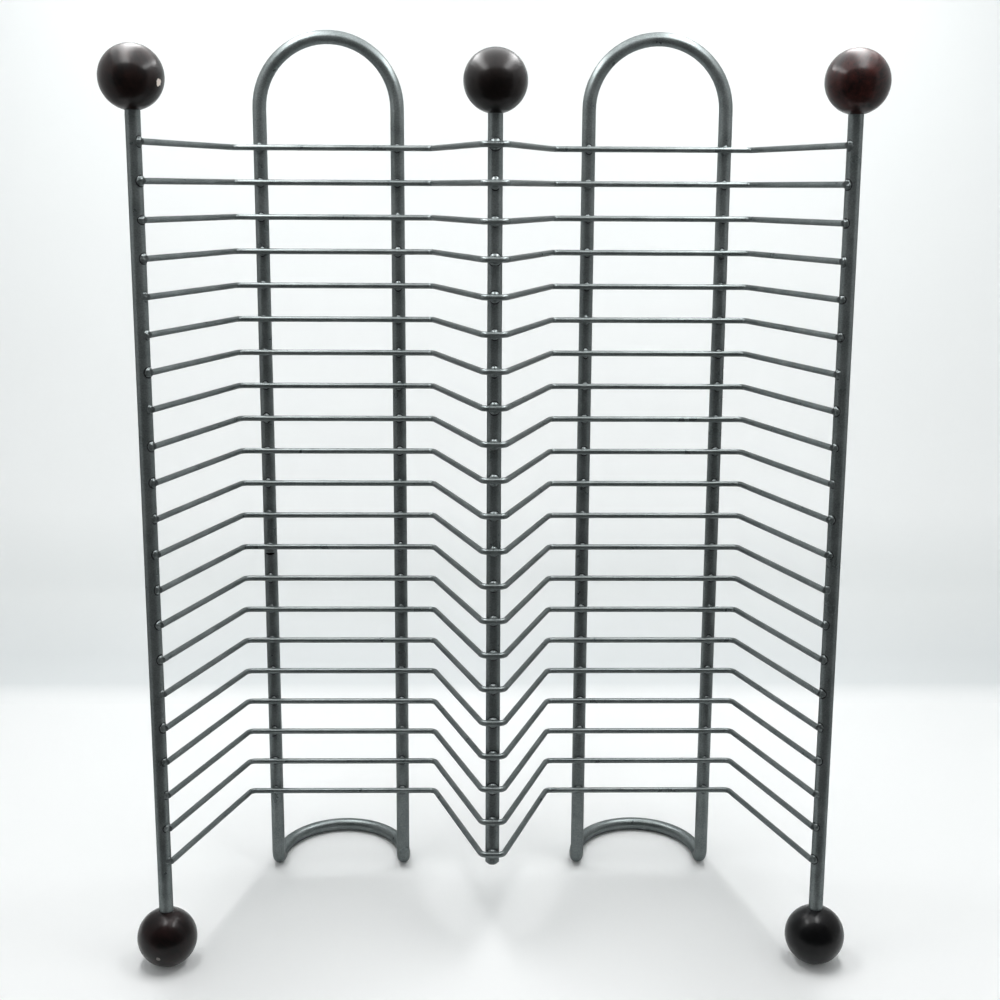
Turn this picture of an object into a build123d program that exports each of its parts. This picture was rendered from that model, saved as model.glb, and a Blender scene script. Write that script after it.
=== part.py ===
"""CD storage rack: a welded steel wire frame with wooden balls on the ends of its uprights.

Three straight uprights stand at the front, and two rods bent to closed loops stand behind them. Shelf
wires, each bent to a flat W, are welded across all of them and hold the disc cases in two bays. The rack
leans back a little, on two ball feet in front and on a half ring at the foot of each loop behind.

Every piece is drawn square to the uprights, with the foot balls' centres at height 0 and the outer
uprights at y 0. The whole frame is then tipped back by the lean and set down on the floor.
Millimetres, +Z up, the open front towards -Y, the origin on the floor under the middle of the rack.
"""

from math import asin, atan2, cos, hypot, radians, sin, sqrt, tan
import os

from build123d import *

# Stock that the rack is made of
rod_diameter = 6.0
wire_diameter = 2.5
ball_diameter = 25.4

# Heights and widths, seen from the front
bay_pitch = 140.0
wire_count = 21
wire_pitch = 14.9
lowest_wire = 35.6
top_ball_rise = 24.2
centre_tail = 5.5
tail_chamfer = 1.0

# Depths, seen from the side
lean_angle = 5.0
shelf_depth = 75.0
centre_set_back = 7.5

# One shelf wire, seen from above
back_straight = 87.0
front_flat = 9.0
wire_bend_radius = 3.0
wire_tail = 1.0
weld_sink = 0.45

# The two back loops
loop_centre = 72.0
loop_width = 60.0
loop_rise = 46.8
foot_bend_radius = 7.0

# The butt joint where the two ends of the left loop's rod meet, seen as a slot on its outer leg
joint_height = 151.2
joint_gap = 0.9
joint_depth = 0.7

# The blind bore in each ball
bore_depth = 14.0
bore_clearance = 0.05

# Radii
rod_radius = rod_diameter / 2
wire_radius = wire_diameter / 2
ball_radius = ball_diameter / 2
arch_radius = loop_width / 2

# Heights
highest_wire = lowest_wire + (wire_count - 1) * wire_pitch
top_ball = highest_wire + top_ball_rise
loop_top = highest_wire + loop_rise

# A wire's axis lies this far from the axis of each rod that it is welded to
weld_offset = rod_radius + wire_radius - weld_sink
leg_y = shelf_depth + weld_offset
front_y = centre_set_back - weld_offset

# In the untipped frame the floor rises towards the back by the lean
lean = radians(lean_angle)
along_floor = Vector(0, cos(lean), sin(lean))
leg_foot = (rod_radius - ball_radius + leg_y * sin(lean)) / cos(lean)

# The finished rack stands with its origin midway between its foremost and its rearmost point
foot_bend_run = foot_bend_radius * tan((radians(90) + lean) / 2)
ring_back = leg_y * cos(lean) + leg_foot * sin(lean) + foot_bend_run + arch_radius
arch_back = leg_y * cos(lean) + (loop_top - rod_radius) * sin(lean)
back_edge = max(ring_back, arch_back) + rod_radius
standing = Pos(0, (ball_radius - back_edge) / 2, ball_radius) * Rot(-lean_angle, 0, 0)

STANDING_UP = (Align.CENTER, Align.CENTER, Align.MIN)


def upright(x, y, bottom, top):
    """A straight rod cut square at both ends."""
    return Pos(x, y, bottom) * Cylinder(rod_radius, top - bottom, align=STANDING_UP)


def outer_upright(side):
    """A front upright that runs from the bore of its foot ball to the bore of its top ball."""
    bottom = ball_radius - bore_depth
    return upright(side * bay_pitch, 0, bottom, top_ball - bottom)


def centre_upright():
    """The middle upright, which ends in the air just under the lowest wire with a chamfered tip."""
    rod = upright(0, centre_set_back, lowest_wire - centre_tail, top_ball - ball_radius + bore_depth)
    tip = rod.edges().filter_by(GeomType.CIRCLE).sort_by(Axis.Z)[0]
    return chamfer(tip, tail_chamfer)


def back_loop(side):
    """One rod bent to an arch, two legs, a bend under each leg and a half ring flat on the floor."""
    leg_x = [side * loop_centre - arch_radius, side * loop_centre + arch_radius]
    arch_foot = loop_top - arch_radius
    bend_top = leg_foot + foot_bend_run
    down = Vector(0, 0, -1)
    arch = ThreePointArc(
        (leg_x[0], leg_y, arch_foot),
        (side * loop_centre, leg_y, loop_top),
        (leg_x[1], leg_y, arch_foot),
    )
    legs = [Line((x, leg_y, arch_foot), (x, leg_y, bend_top)) for x in leg_x]
    ring_ends = [Vector(x, leg_y, leg_foot) + along_floor * foot_bend_run for x in leg_x]
    bends = [TangentArc(leg @ 1, end, tangent=down) for leg, end in zip(legs, ring_ends)]
    ring_middle = (ring_ends[0] + ring_ends[1]) / 2 + along_floor * arch_radius
    ring = ThreePointArc(ring_ends[0], ring_middle, ring_ends[1])
    path = Wire([arch, legs[0], bends[0], ring, bends[1], legs[1]])
    start = legs[0]
    section = Plane(origin=start @ 0, z_dir=start % 0) * Circle(rod_radius)
    return sweep(section, path=path)


def joint_slot():
    """The gap that the weld leaves open at the front of the left loop's butt joint."""
    slot = Box(rod_diameter, joint_depth, joint_gap, align=(Align.CENTER, Align.MIN, Align.CENTER))
    return Pos(-loop_centre - arch_radius, leg_y - rod_radius, joint_height) * slot


def shelf_wire():
    """One wire bent to a flat W at height 0, with a weld seat cut to each rod that it crosses."""
    outer_x = (bay_pitch + back_straight) / 2
    inner_x = (bay_pitch - back_straight) / 2
    reach = hypot(bay_pitch - outer_x, shelf_depth)
    slant = atan2(shelf_depth, bay_pitch - outer_x) + asin(weld_offset / reach)
    length = sqrt(reach**2 - weld_offset**2) + wire_tail
    half = [
        (outer_x + length * cos(slant), shelf_depth - length * sin(slant)),
        (outer_x, shelf_depth),
        (inner_x, shelf_depth),
        (front_flat / 2, front_y),
    ]
    points = [(-x, y, 0) for x, y in half] + [(x, y, 0) for x, y in reversed(half)]
    path = FilletPolyline(*points, radius=wire_bend_radius)
    wire = sweep(Plane(origin=path @ 0, z_dir=path % 0) * Circle(wire_radius), path=path)
    leg_x = [side * loop_centre + edge * arch_radius for side in (-1, 1) for edge in (-1, 1)]
    rods = [(-bay_pitch, 0), (0, centre_set_back), (bay_pitch, 0)] + [(x, leg_y) for x in leg_x]
    for x, y in rods:
        wire -= Pos(x, y) * Cylinder(rod_radius, 2 * wire_diameter)
    return wire


def ball(x, y, height, opening):
    """A wooden ball with a blind bore that opens upwards (1) or downwards (-1)."""
    bore = Cylinder(rod_radius + bore_clearance, bore_depth, align=STANDING_UP)
    turned = Rot(0 if opening < 0 else 180, 0, 0)
    bored = Sphere(ball_radius) - turned * Pos(0, 0, -ball_radius) * bore
    return Pos(x, y, height) * bored


pieces = {
    "left_upright": outer_upright(-1),
    "centre_upright": centre_upright(),
    "right_upright": outer_upright(1),
    "left_back_loop": back_loop(-1) - joint_slot(),
    "right_back_loop": back_loop(1),
    "top_ball_left": ball(-bay_pitch, 0, top_ball, -1),
    "top_ball_centre": ball(0, centre_set_back, top_ball, -1),
    "top_ball_right": ball(bay_pitch, 0, top_ball, -1),
    "foot_ball_left": ball(-bay_pitch, 0, 0, 1),
    "foot_ball_right": ball(bay_pitch, 0, 0, 1),
}
wire = shelf_wire()
for level in range(wire_count):
    pieces[f"shelf_wire_{level + 1:02d}"] = Pos(0, 0, highest_wire - level * wire_pitch) * wire

os.makedirs("parts", exist_ok=True)
for name, piece in pieces.items():
    export_step(standing * piece, f"parts/{name}.step")
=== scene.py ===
"""A painted steel rack for disc cases, dressed for a studio picture.

The sections follow the rack as it is put together: the front uprights, the two bent loops behind them, the
shelf wires, the spot welds that join wires to rods, and the wooden balls that are pushed on last. The
stage, the lamps and the camera come after the rack. Metres, +Z up, the open front towards -Y.
"""

from math import asin, atan2, cos, hypot, pi, radians, sin

import bmesh
import bpy
from mathutils import Matrix, Vector


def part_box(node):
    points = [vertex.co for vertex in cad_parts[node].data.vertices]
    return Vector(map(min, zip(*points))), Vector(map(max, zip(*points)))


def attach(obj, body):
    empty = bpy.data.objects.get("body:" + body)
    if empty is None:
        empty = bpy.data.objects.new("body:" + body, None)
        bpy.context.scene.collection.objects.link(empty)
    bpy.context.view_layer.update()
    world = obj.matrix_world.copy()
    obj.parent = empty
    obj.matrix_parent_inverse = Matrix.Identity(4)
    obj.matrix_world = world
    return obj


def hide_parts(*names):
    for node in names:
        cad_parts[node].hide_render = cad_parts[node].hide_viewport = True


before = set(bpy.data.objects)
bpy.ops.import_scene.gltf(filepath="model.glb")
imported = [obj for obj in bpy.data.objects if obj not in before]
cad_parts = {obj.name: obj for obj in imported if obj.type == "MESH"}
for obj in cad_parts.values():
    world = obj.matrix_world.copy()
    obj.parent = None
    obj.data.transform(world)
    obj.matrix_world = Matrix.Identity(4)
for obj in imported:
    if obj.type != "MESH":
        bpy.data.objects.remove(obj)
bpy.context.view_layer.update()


# The front uprights
# Three lengths of 6 mm mild steel rod, cut square. The whole frame is sprayed after welding with one coat
# of metallic stove enamel, gunmetal grey, so rods, wires and welds all carry the same skin.
MM = 0.001
rod_radius = 3.0 * MM
lean = radians(5.0)

left_foot_low, left_foot_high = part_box("foot_ball_left")
ball_radius = (left_foot_high.x - left_foot_low.x) / 2
foot_height = left_foot_low.z + ball_radius
foot_y = (left_foot_high.y + left_foot_low.y) / 2
upright_x = -(left_foot_high.x + left_foot_low.x) / 2

# Turns a place in the upright rack, measured from between the foot balls' centres, to its place in the
# rack that leans back.
tipped = Matrix.Translation((0, foot_y, foot_height)) @ Matrix.Rotation(-lean, 4, "X")


def linear(code):
    """A colour written as sRGB hex, turned to the linear values that a shader takes."""
    shares = [int(code[i:i + 2], 16) / 255 for i in (1, 3, 5)]
    return [s / 12.92 if s <= 0.04045 else ((s + 0.055) / 1.055) ** 2.4 for s in shares] + [1.0]


def add(tree, kind, values=None, **settings):
    """A new node with its settings. A value is a number or colour, or the node or socket that feeds it."""
    node = tree.nodes.new(kind)
    for name, setting in settings.items():
        setattr(node, name, setting)
    for socket, value in (values or {}).items():
        if isinstance(value, bpy.types.Node):
            value = value.outputs[0]
        if isinstance(value, bpy.types.NodeSocket):
            tree.links.new(value, node.inputs[socket])
        else:
            node.inputs[socket].default_value = value
    return node


def new_material(name):
    """An empty material with a Principled shader on its output, and its node tree."""
    material = bpy.data.materials.new(name)
    material.use_nodes = True
    tree = material.node_tree
    tree.nodes.clear()
    shader = add(tree, "ShaderNodeBsdfPrincipled")
    add(tree, "ShaderNodeOutputMaterial", {"Surface": shader})
    return material, tree, shader


# Metallic stove enamel: aluminium flake in a grey binder, sprayed and baked. The eye sees a soft steel
# sheen with a fine sparkle, slightly uneven in tone and with the faint pebbling of a sprayed coat. Real
# flake is a tenth of this size and is drawn coarser so that it shows.
enamel_dark = "#5e6565"
enamel_light = "#797f7f"
enamel_edge = "#8c8c8c"
enamel_metal = 0.7
glossy_roughness = 0.27
dull_roughness = 0.35
flake_size = 0.55 * MM
cloud_size = 9.0 * MM
peel_size = 1.3 * MM
peel_depth = 0.06 * MM

enamel, tree, shader = new_material("metallic_stove_enamel")
place = add(tree, "ShaderNodeTexCoord").outputs["Object"]
flake = add(tree, "ShaderNodeTexNoise", {"Vector": place, "Scale": 1 / flake_size, "Detail": 1.0})
cloud = add(tree, "ShaderNodeTexNoise", {"Vector": place, "Scale": 1 / cloud_size, "Detail": 3.0})
peel = add(tree, "ShaderNodeTexNoise", {"Vector": place, "Scale": 1 / peel_size, "Detail": 2.0})
tone = add(tree, "ShaderNodeMath", {0: flake, 1: cloud}, operation="ADD")
share = add(tree, "ShaderNodeMapRange", {"Value": tone, "From Min": 0.7, "From Max": 1.3})
colour = add(tree, "ShaderNodeMix", {0: share, 6: linear(enamel_dark), 7: linear(enamel_light)},
             data_type="RGBA")
gloss = add(tree, "ShaderNodeMapRange", {"Value": cloud, "From Min": 0.3, "From Max": 0.7,
                                         "To Min": glossy_roughness, "To Max": dull_roughness})
pebbles = add(tree, "ShaderNodeBump", {"Height": peel, "Strength": 0.6, "Distance": peel_depth})
tree.links.new(colour.outputs[2], shader.inputs["Base Color"])
tree.links.new(gloss.outputs[0], shader.inputs["Roughness"])
tree.links.new(pebbles.outputs[0], shader.inputs["Normal"])
shader.inputs["Metallic"].default_value = enamel_metal
shader.inputs["Specular Tint"].default_value = linear(enamel_edge)

for name in ("left_upright", "centre_upright", "right_upright"):
    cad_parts[name].material_slots[0].material = enamel


# The back loops
# Each is one length of the same rod, bent to an arch, two legs and a half ring that lies flat on the floor.
# Its two ends are butt welded in a leg and ground, and the left one still shows an open slot at the front.
loop_centre = 72.0 * MM
loop_width = 60.0 * MM
loop_depth = 78.8 * MM
joint_height = 151.2 * MM
joint_gap = 0.9 * MM

# Enamel with painted shade in the open slot: a flat black patch that stands for the shade in the gap and
# fades into the grey coat at its rim. Its reach is half its width, depth and height.
slot_shade_black = "#060606"
slot_shade_reach = (2.5 * MM, 1.6 * MM, 0.75 * joint_gap)

enamel_with_slot_shade = enamel.copy()
enamel_with_slot_shade.name = "metallic_stove_enamel_with_painted_slot_shade"
tree = enamel_with_slot_shade.node_tree
shader = next(node for node in tree.nodes if node.type == "BSDF_PRINCIPLED")
clean_colour = shader.inputs["Base Color"].links[0].from_socket
joint = tipped @ Vector((-loop_centre - loop_width / 2, loop_depth - rod_radius, joint_height))
place = add(tree, "ShaderNodeTexCoord").outputs["Object"]
near_joint = add(tree, "ShaderNodeMapping", {"Vector": place, "Location": joint, "Rotation": (-lean, 0, 0),
                                             "Scale": slot_shade_reach}, vector_type="TEXTURE")
reach = add(tree, "ShaderNodeVectorMath", {0: near_joint}, operation="LENGTH").outputs["Value"]
# Painted shade: black inside the slot, fading out towards its rim.
slot_shade = add(tree, "ShaderNodeMapRange", {"Value": reach, "From Min": 1.0, "From Max": 0.8})
colour = add(tree, "ShaderNodeMix", {0: slot_shade, 6: clean_colour, 7: linear(slot_shade_black)}, data_type="RGBA")
tree.links.new(colour.outputs[2], shader.inputs["Base Color"])

for name, skin in (("left_back_loop", enamel_with_slot_shade), ("right_back_loop", enamel)):
    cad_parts[name].material_slots[0].material = skin


# The shelf wires
# Twenty-one lengths of 2.5 mm wire, each bent to a flat W on one jig, so they lie alike. The sixth from the
# top was knocked in use, and its back straight now bows up a little in the left bay.
wire_radius = 1.25 * MM
wire_count = 21
wire_pitch = 14.9 * MM
lowest_wire = 35.6 * MM
shelf_depth = 75.0 * MM
back_straight = 87.0 * MM
bowed_node = "shelf_wire_06"
bow_rise = 0.8 * MM
merge_distance = 0.001 * MM
smooth_up_to = radians(35)

for level in range(1, wire_count + 1):
    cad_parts[f"shelf_wire_{level:02d}"].material_slots[0].material = enamel


def in_scene(name, data):
    """A new object of this mesh, lamp or camera, linked to the scene."""
    thing = bpy.data.objects.new(name, data)
    bpy.context.scene.collection.objects.link(thing)
    return thing


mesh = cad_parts[bowed_node].data.copy()
mesh.name = "bowed_shelf_wire"
shell = bmesh.new()
shell.from_mesh(mesh)
bmesh.ops.remove_doubles(shell, verts=shell.verts, dist=merge_distance)
for vertex in shell.verts:
    from_bay_middle = (vertex.co.x + upright_x / 2) / (back_straight / 2)
    if abs(from_bay_middle) < 1:
        vertex.co.z += bow_rise * (0.5 + 0.5 * cos(pi * from_bay_middle))
shell.to_mesh(mesh)
shell.free()
if mesh.has_custom_normals:
    mesh.attributes.remove(mesh.attributes["custom_normal"])
mesh.shade_smooth()
mesh.set_sharp_from_angle(angle=smooth_up_to)
mesh.materials.clear()
mesh.materials.append(enamel)
bowed = in_scene("bowed_shelf_wire", mesh)
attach(bowed, "root")
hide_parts(bowed_node)


# The spot welds
# Wire and rod are pressed together between two electrodes and fused. The steel that is squeezed out swells
# as a small uneven pad round each crossing, and shows above and below the wire. All 147 are made alike.
weld_sink = 0.45 * MM
centre_set_back = 7.5 * MM
towards_cut_end = radians(16)
smallest_pad = (0.8, 0.85, 0.97)
largest_pad = (1.15, 1.12, 1.03)
lump_size = 1.1 * MM
rim_width = 0.45 * MM
rim_thickness = 0.07 * MM
bead_height = 1.8 * MM

# A pad is a ball of radius 1 that is scaled to its size and wrapped round the rod: x turns about the rod's
# axis, y runs along it and z lies across its skin. One stands on each point, with its own swell and lumps.
pads = bpy.data.node_groups.new("squeezed_weld_pads", "GeometryNodeTree")
pads.is_modifier = True
for label, kind in (("Geometry", "Geometry"), ("Rod Radius", "Float"), ("Width", "Float"),
                    ("Height", "Float"), ("Thickness", "Float"), ("Unevenness", "Float"), ("Seed", "Int"),
                    ("Material", "Material")):
    pads.interface.new_socket(label, in_out="INPUT", socket_type=f"NodeSocket{kind}")
pads.interface.new_socket("Geometry", in_out="OUTPUT", socket_type="NodeSocketGeometry")
given = add(pads, "NodeGroupInput").outputs

ball = add(pads, "GeometryNodeMeshUVSphere", {"Segments": 20, "Rings": 12, "Radius": 1.0})
x, y, z = add(pads, "ShaderNodeSeparateXYZ", {0: add(pads, "GeometryNodeInputPosition")}).outputs
half_x = add(pads, "ShaderNodeMath", {0: x, 1: 0.5}, operation="MULTIPLY")
along_skin = add(pads, "ShaderNodeMath", {0: half_x, 1: given["Width"]}, operation="MULTIPLY")
angle = add(pads, "ShaderNodeMath", {0: along_skin, 1: given["Rod Radius"]}, operation="DIVIDE")
sine = add(pads, "ShaderNodeMath", {0: angle}, operation="SINE")
cosine = add(pads, "ShaderNodeMath", {0: angle}, operation="COSINE")
off_skin = add(pads, "ShaderNodeMath", {0: z, 1: given["Thickness"]}, operation="MULTIPLY")
off_axis = add(pads, "ShaderNodeMath", {0: off_skin, 1: given["Rod Radius"]}, operation="ADD")
half_y = add(pads, "ShaderNodeMath", {0: y, 1: 0.5}, operation="MULTIPLY")
wrapped = add(pads, "ShaderNodeCombineXYZ", {
    0: add(pads, "ShaderNodeMath", {0: off_axis, 1: sine}, operation="MULTIPLY"),
    1: add(pads, "ShaderNodeMath", {0: half_y, 1: given["Height"]}, operation="MULTIPLY"),
    2: add(pads, "ShaderNodeMath", {0: off_axis, 1: cosine}, operation="MULTIPLY"),
})
pad = add(pads, "GeometryNodeSetPosition", {"Geometry": ball, "Position": wrapped})

outward = add(pads, "GeometryNodeInputNamedAttribute", {"Name": "outward"}, data_type="FLOAT_VECTOR")
upward = add(pads, "GeometryNodeInputNamedAttribute", {"Name": "upward"}, data_type="FLOAT_VECTOR")
facing = add(pads, "FunctionNodeAxesToRotation", {"Primary Axis": outward, "Secondary Axis": upward},
             primary_axis="Z", secondary_axis="Y")
swell = add(pads, "FunctionNodeRandomValue", {0: smallest_pad, 1: largest_pad, "Seed": given["Seed"]},
            data_type="FLOAT_VECTOR")
standing = add(pads, "GeometryNodeInstanceOnPoints", {"Points": given["Geometry"], "Instance": pad,
                                                      "Rotation": facing, "Scale": swell})
real = add(pads, "GeometryNodeRealizeInstances", {0: standing})
lumps = add(pads, "ShaderNodeTexNoise", {"Scale": 1 / lump_size, "Detail": 1.0})
about_zero = add(pads, "ShaderNodeMath", {0: lumps, 1: 0.5}, operation="SUBTRACT")
lift = add(pads, "ShaderNodeMath", {0: about_zero, 1: given["Unevenness"]}, operation="MULTIPLY")
push = add(pads, "ShaderNodeVectorMath", {0: add(pads, "GeometryNodeInputNormal"), "Scale": lift},
           operation="SCALE")
lumpy = add(pads, "GeometryNodeSetPosition", {"Geometry": real, "Offset": push})
smooth = add(pads, "GeometryNodeSetShadeSmooth", {"Geometry": lumpy, "Shade Smooth": True})
painted = add(pads, "GeometryNodeSetMaterial", {"Geometry": smooth, "Material": given["Material"]})
add(pads, "NodeGroupOutput", {0: painted})


def weld_pads(name, rods, heights, skin, width, height, thickness, unevenness, seed):
    """Pads on these rods at these heights, each rod given as its x, y and the way that the pad faces."""
    spots = [(Vector((x, y, z)), Vector(way).normalized()) for x, y, way in rods for z in heights]
    mesh = bpy.data.meshes.new(name + "_points")
    mesh.from_pydata([tipped @ spot for spot, _ in spots], [], [])
    turned = tipped.to_3x3()
    for label, ways in (("outward", [turned @ way for _, way in spots]),
                        ("upward", [turned @ Vector((0, 0, 1))] * len(spots))):
        attribute = mesh.attributes.new(label, "FLOAT_VECTOR", "POINT")
        attribute.data.foreach_set("vector", [number for way in ways for number in way])
    points = in_scene(name + "_points", mesh)
    modifier = points.modifiers.new("pads", "NODES")
    modifier.node_group = pads
    wanted = {"Rod Radius": rod_radius, "Width": width, "Height": height, "Thickness": thickness,
              "Unevenness": unevenness, "Seed": seed, "Material": skin}
    for item in pads.interface.items_tree:
        if item.in_out == "INPUT" and item.name in wanted:
            modifier[item.identifier] = wanted[item.name]
    ready = points.evaluated_get(bpy.context.evaluated_depsgraph_get())
    made = bpy.data.meshes.new_from_object(ready)
    made.name = name
    bpy.data.objects.remove(points)
    piece = in_scene(name, made)
    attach(piece, "root")


# Painted crevice shade: a thin dark sheet hugs the rod in a rim round each weld pad, where shade falls at
# its edge.
crevice_shade, tree, shader = new_material("painted_crevice_shade")
shader.inputs["Base Color"].default_value = linear("#14181a")
shader.inputs["Roughness"].default_value = 0.5

# The outer wires run past their rods at a slant, so their pads face the wire and a little towards its cut
# end, where the steel rolls out too.
side_run = (upright_x - back_straight) / 2
weld_offset = rod_radius + wire_radius - weld_sink
slant = atan2(shelf_depth, side_run) + asin(weld_offset / hypot(side_run, shelf_depth))
pad_turn = pi / 2 - slant + towards_cut_end
left_way = (cos(pad_turn), -sin(pad_turn), 0)
right_way = (-cos(pad_turn), -sin(pad_turn), 0)
front = (0, -1, 0)
legs = [side * loop_centre + edge * loop_width / 2 for side in (-1, 1) for edge in (-1, 1)]
wire_heights = [lowest_wire + level * wire_pitch for level in range(wire_count)]

# For each kind of crossing: its rods, its pads' width, height, thickness and unevenness in mm, and a seed.
crossings = {
    "centre": ([(0, centre_set_back, front)], 4.4, 4.9, 1.5, 0.25, 3),
    "outer": ([(-upright_x, 0, left_way), (upright_x, 0, right_way)], 3.7, 3.6, 1.0, 1.3, 5),
    "leg": ([(x, loop_depth, front) for x in legs], 3.0, 4.0, 1.1, 0.4, 8),
}
for kind, (rods, width, height, thickness, unevenness, seed) in crossings.items():
    weld_pads(f"{kind}_weld_pads", rods, wire_heights, enamel, width * MM, height * MM, thickness * MM,
              unevenness * MM, seed)
    # Under each pad lies a slightly larger, very thin dark rim: painted shade round the pad's edge.
    weld_pads(f"{kind}_painted_shade_rims", rods, wire_heights, crevice_shade, width * MM + 2 * rim_width,
              height * MM + 2 * rim_width, rim_thickness, 0.0, seed)

# A bead of weld metal stands just over the open slot in the left loop's butt joint.
weld_pads("butt_joint_bead", [(legs[0], loop_depth, front)], [joint_height + (joint_gap + bead_height) / 2],
          enamel, 5.0 * MM, bead_height, 0.45 * MM, 0.3 * MM, 2)


# The balls
# Five turned beech balls, one inch across, dipped in a dark mahogany stain and lacquered. Each has a blind
# bore and is pushed and glued on its rod. Stain takes unevenly, so no two have quite the same brown.
grain_spacing = 1.6 * MM
pore_width = 0.45 * MM
pore_depth = 0.05 * MM
along_grain = 0.12
stain_patch = 7.0 * MM
lacquer_wave = 0.5 * MM
chip_edge = 1.6 * MM


def stained_wood(name, ball, dark, light, turn, chips=()):
    """Stained and lacquered beech: nearly black in the dark grain and red-brown between, under a clear
    coat that lies in soft waves. A chip shows bare wood, and is given as its way from the ball's centre,
    its size and its colour."""
    material, tree, shader = new_material(name)
    low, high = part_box(ball)
    centre = (low + high) / 2
    place = add(tree, "ShaderNodeTexCoord").outputs["Object"]
    centred = add(tree, "ShaderNodeVectorMath", {0: place, 1: centre}, operation="SUBTRACT")
    turned = add(tree, "ShaderNodeMapping", {"Vector": centred, "Rotation": [radians(a) for a in turn]})
    drawn = add(tree, "ShaderNodeMapping", {"Vector": turned, "Scale": (1.0, 1.0, along_grain)})
    growth = add(tree, "ShaderNodeTexNoise", {"Vector": drawn, "Scale": 1 / grain_spacing, "Detail": 3.0})
    pores = add(tree, "ShaderNodeTexNoise", {"Vector": drawn, "Scale": 1 / pore_width, "Detail": 2.0})
    patches = add(tree, "ShaderNodeTexNoise", {"Vector": turned, "Scale": 1 / stain_patch, "Detail": 2.0})
    grain = add(tree, "ShaderNodeMath", {0: growth, 1: pores}, operation="MULTIPLY")
    stain = add(tree, "ShaderNodeMath", {0: grain, 1: patches}, operation="ADD")
    share = add(tree, "ShaderNodeMapRange", {"Value": stain, "From Min": 0.55, "From Max": 1.0})
    colour = add(tree, "ShaderNodeMix", {0: share, 6: linear(dark), 7: linear(light)}, data_type="RGBA")
    for way, size, bare in chips:
        spot = centre + Vector(way).normalized() * ball_radius
        ragged = add(tree, "ShaderNodeTexNoise", {"Vector": place, "Scale": 1 / chip_edge, "Detail": 1.0})
        reach = add(tree, "ShaderNodeVectorMath", {0: place, 1: spot}, operation="DISTANCE")
        edge = add(tree, "ShaderNodeMath", {0: ragged, 1: size, 2: reach.outputs["Value"]},
                   operation="MULTIPLY_ADD")
        mask = add(tree, "ShaderNodeMath", {0: edge, 1: 1.5 * size}, operation="LESS_THAN")
        colour = add(tree, "ShaderNodeMix", {0: mask, 6: colour.outputs[2], 7: linear(bare)},
                     data_type="RGBA")
    open_pores = add(tree, "ShaderNodeBump", {"Height": pores, "Strength": 0.6, "Distance": pore_depth})
    waves = add(tree, "ShaderNodeBump", {"Height": patches, "Strength": 0.5, "Distance": lacquer_wave,
                                         "Normal": open_pores})
    tree.links.new(colour.outputs[2], shader.inputs["Base Color"])
    tree.links.new(open_pores.outputs[0], shader.inputs["Normal"])
    tree.links.new(waves.outputs[0], shader.inputs["Coat Normal"])
    shader.inputs["Roughness"].default_value = 0.45
    shader.inputs["Specular IOR Level"].default_value = 0.1
    shader.inputs["Coat Weight"].default_value = 0.65
    shader.inputs["Coat IOR"].default_value = 1.3
    shader.inputs["Coat Roughness"].default_value = 0.17
    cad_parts[ball].material_slots[0].material = material


stained_wood("stained_beech_brown", "top_ball_left", "#050303", "#1a0c09", (35, 20, 0),
             chips=[((0.91, -0.38, -0.16), 1.35 * MM, "#d8cdc4")])
stained_wood("stained_beech_umber", "top_ball_centre", "#050303", "#0f0806", (80, 10, 40))
stained_wood("stained_beech_red", "top_ball_right", "#070303", "#300f0b", (60, -30, 70))
stained_wood("stained_beech_plum", "foot_ball_left", "#070404", "#1a0b0a", (15, 50, 20),
             chips=[((-0.14, -0.96, -0.26), 0.85 * MM, "#67625f")])
stained_wood("stained_beech_black", "foot_ball_right", "#030304", "#07080a", (40, 70, -15))


# The stage
# A sheet of matt white paper lies under the rack, and a second one sweeps up close behind it. The second
# carries painted shade in pale greys that change with height, darkest just above the floor, and is clear
# from behind, so the rack shows there too.
floor_half = 4.0
sweep_half = 1.5
sweep_top = 1.2
sweep_y = 275 * MM
sweep_bend = 60 * MM
sweep_lift = 0.5 * MM
shade_height = 0.4
shade_stops = {0.0: "#f6f7f7", 0.012: "#dce0e1", 0.04: "#dce0e1", 0.12: "#edf0f0", 0.27: "#f8fafa",
              1.0: "#eaeded"}
air_white = "#f2f4f4"
air_strength = 0.6


def stage_sheet(name, outline, half_width, material):
    """A sheet that runs along an outline of (y, z) points and is stretched sideways."""
    mesh = bpy.data.meshes.new(name)
    points = [(x, y, z) for y, z in outline for x in (-half_width, half_width)]
    faces = [(2 * i, 2 * i + 1, 2 * i + 3, 2 * i + 2) for i in range(len(outline) - 1)]
    mesh.from_pydata(points, [], faces)
    mesh.shade_smooth()
    mesh.materials.append(material)
    in_scene(name, mesh)


paper, tree, shader = new_material("white_paper")
shader.inputs["Base Color"].default_value = linear("#f6f7f7")
shader.inputs["Roughness"].default_value = 0.8
shader.inputs["Specular IOR Level"].default_value = 0.05
stage_sheet("paper_floor", [(-floor_half, 0.0), (floor_half, 0.0)], floor_half, paper)

backing, tree, shader = new_material("sweep_paper")
place = add(tree, "ShaderNodeTexCoord").outputs["Object"]
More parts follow.
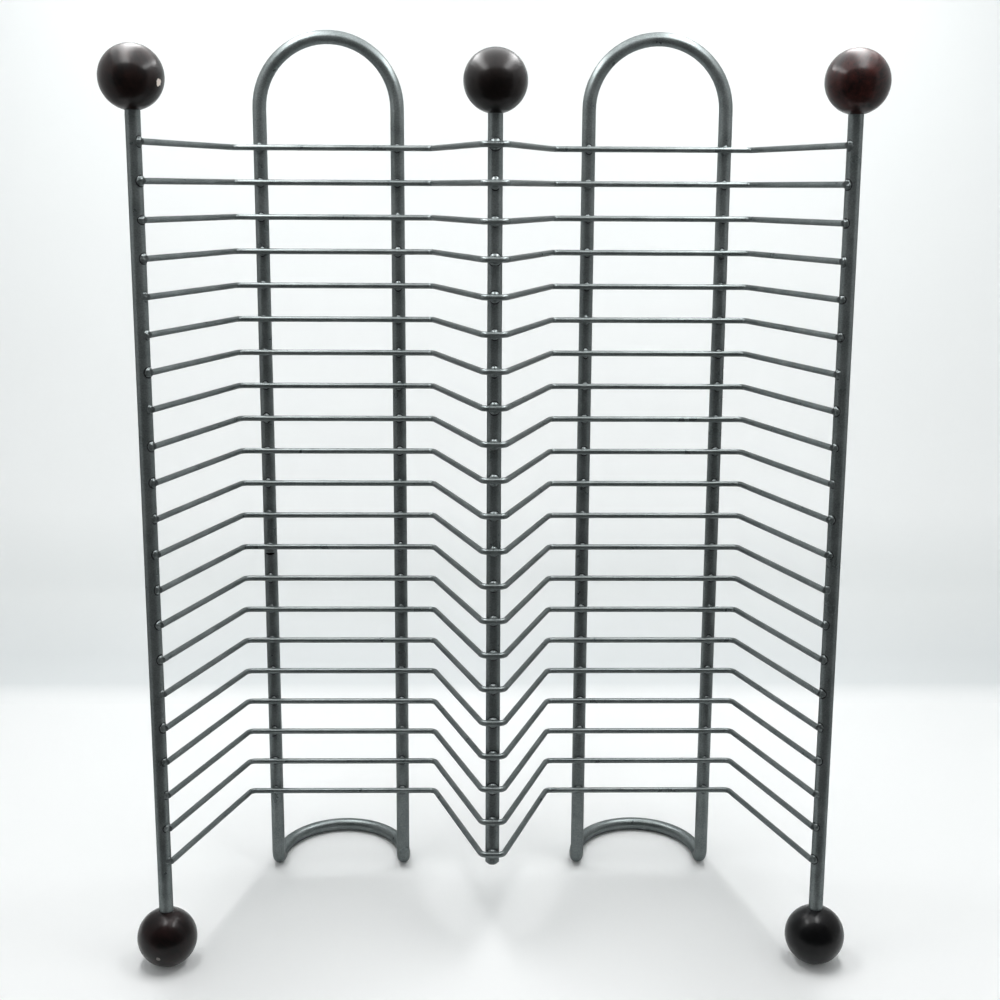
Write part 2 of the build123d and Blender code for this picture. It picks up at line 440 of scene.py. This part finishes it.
# Painted shade: the sweep's grey is darkest a little above the floor and lighter higher up.
height = add(tree, "ShaderNodeSeparateXYZ", {0: place}).outputs["Z"]
share = add(tree, "ShaderNodeMapRange", {"Value": height, "From Min": 0.0, "From Max": shade_height})
shade_ramp = add(tree, "ShaderNodeValToRGB", {0: share})
first, *middle, last = shade_stops.items()
for stop, (_, code) in zip(shade_ramp.color_ramp.elements, (first, last)):
    stop.color = linear(code)
for part, code in middle:
    shade_ramp.color_ramp.elements.new(part).color = linear(code)
tree.links.new(shade_ramp.outputs[0], shader.inputs["Base Color"])
shader.inputs["Roughness"].default_value = 0.8
clear = add(tree, "ShaderNodeBsdfTransparent")
from_behind = add(tree, "ShaderNodeNewGeometry").outputs["Backfacing"]
one_sided = add(tree, "ShaderNodeMixShader", {0: from_behind, 1: shader, 2: clear})
output = next(node for node in tree.nodes if node.type == "OUTPUT_MATERIAL")
tree.links.new(one_sided.outputs[0], output.inputs["Surface"])

bend = [(sweep_y - sweep_bend + sweep_bend * sin(a), sweep_lift + sweep_bend - sweep_bend * cos(a))
        for a in map(radians, range(0, 91, 6))]
stage_sheet("paper_sweep", bend + [(sweep_y, sweep_top)], sweep_half, backing)

# The air is white to the camera and in reflections, and gives a softer light than that.
world = bpy.data.worlds.new("studio_air")
bpy.context.scene.world = world
world.use_nodes = True
tree = world.node_tree
tree.nodes.clear()
ray = add(tree, "ShaderNodeLightPath").outputs
seen = add(tree, "ShaderNodeMath", {0: ray["Is Camera Ray"], 1: ray["Is Glossy Ray"]}, operation="MAXIMUM")
seen = add(tree, "ShaderNodeMath", {0: seen, 1: ray["Is Transmission Ray"]}, operation="MAXIMUM")
lit = add(tree, "ShaderNodeBackground", {"Color": linear(air_white), "Strength": air_strength})
white = add(tree, "ShaderNodeBackground", {"Color": linear(air_white), "Strength": 1.0})
mixed = add(tree, "ShaderNodeMixShader", {0: seen, 1: lit, 2: white})
add(tree, "ShaderNodeOutputWorld", {0: mixed})


# The light tent
# Two lamp strips under a white roof, white sides, and the dark room in front. Roof, sides and room are flat
# cards that only show mirrored in the rack. Their glow is 1 where the card looks white.
roof_height = 0.56
roof_half = 0.32
side_x = 0.36
tent_front = -0.2
tent_back = 0.3
room_y = -0.5
room_half = 0.6
room_top = 1.4
room_side_top = 1.0
table_edge = -0.12
table_height = 0.001
glow_rises_from = 0.08
strip_x = 0.17
strip_width = 0.06
strip_length = 0.36
strip_power = 1.1
strip_drop = 0.01
band_width = 0.085


def card(name, low, high, low_glow, high_glow=None, band_glow=0.0):
    """A card between two opposite corners, with its glow at floor and roof height and over the lamps."""
    across = next(axis for axis in range(3) if low[axis] != high[axis])
    second, fourth = list(low), list(high)
    second[across], fourth[across] = high[across], low[across]
    mesh = bpy.data.meshes.new(name)
    mesh.from_pydata([low, second, high, fourth], [], [(0, 1, 2, 3)])
    material = bpy.data.materials.new(name)
    material.use_nodes = True
    tree = material.node_tree
    tree.nodes.clear()
    place = add(tree, "ShaderNodeTexCoord").outputs["Object"]
    x, _, z = add(tree, "ShaderNodeSeparateXYZ", {0: place}).outputs
    level = add(tree, "ShaderNodeMapRange", {
        "Value": z, "From Min": glow_rises_from, "From Max": roof_height, "To Min": low_glow,
        "To Max": high_glow or low_glow}, interpolation_type="SMOOTHSTEP")
    off_middle = add(tree, "ShaderNodeMath", {0: x}, operation="ABSOLUTE")
    past_strip = add(tree, "ShaderNodeMath", {0: off_middle, 1: strip_x}, operation="SUBTRACT")
    off_strip = add(tree, "ShaderNodeMath", {0: past_strip}, operation="ABSOLUTE")
    band = add(tree, "ShaderNodeMapRange", {
        "Value": off_strip, "From Min": 0.0, "From Max": band_width, "To Min": band_glow,
        "To Max": 0.0}, interpolation_type="SMOOTHSTEP")
    strength = add(tree, "ShaderNodeMath", {0: level, 1: band}, operation="ADD")
    glow = add(tree, "ShaderNodeEmission", {"Strength": strength})
    add(tree, "ShaderNodeOutputMaterial", {"Surface": glow})
    mesh.materials.append(material)
    sheet = in_scene(name, mesh)
    sheet.visible_camera = sheet.visible_diffuse = sheet.visible_shadow = False
    sheet.visible_transmission = False


card("tent_roof", (-roof_half, tent_front, roof_height), (roof_half, tent_back, roof_height), 3.0,
     band_glow=12.0)
card("room_front", (-room_half, room_y, table_height), (room_half, room_y, room_top), 0.03)
# The table in front is a dark card too, seen only mirrored in the rack: a painted dark reflection.
card("table_front", (-room_half, room_y, table_height), (room_half, table_edge, table_height), 0.03)
for x, side in ((-side_x, "left"), (side_x, "right")):
    card(f"tent_{side}", (x, tent_front, 0.0), (x, tent_back, roof_height), 0.45, 1.0)
    card(f"room_{side}", (x, room_y, 0.0), (x, tent_front, room_side_top), 0.06)

for x, side in ((-strip_x, "left"), (strip_x, "right")):
    lamp = bpy.data.lights.new("lamp_strip", "AREA")
    lamp.shape = "RECTANGLE"
    lamp.size = strip_width
    lamp.size_y = strip_length
    lamp.energy = strip_power
    strip = in_scene(f"lamp_strip_{side}", lamp)
    strip.location = (x, 0.0, roof_height - strip_drop)
    strip.visible_glossy = False


# The camera
# It stands a little left of the rack's middle, just over half a metre in front of it, and looks down on it.
# It is level but for a slight roll.
camera_place = (-8.8 * MM, -625.3 * MM, 380.1 * MM)
camera_turn = radians(-1.09)
camera_tilt = radians(-16.62)
camera_roll = radians(0.40)

camera = bpy.data.cameras.new("camera")
camera.lens = 54.34
camera.sensor_width = 36.0
view = in_scene("camera", camera)
view.matrix_world = (Matrix.Translation(camera_place) @ Matrix.Rotation(camera_turn, 4, "Z")
                     @ Matrix.Rotation(pi / 2 + camera_tilt, 4, "X") @ Matrix.Rotation(camera_roll, 4, "Z"))
bpy.context.scene.camera = view
bpy.context.scene.view_settings.view_transform = "Standard"
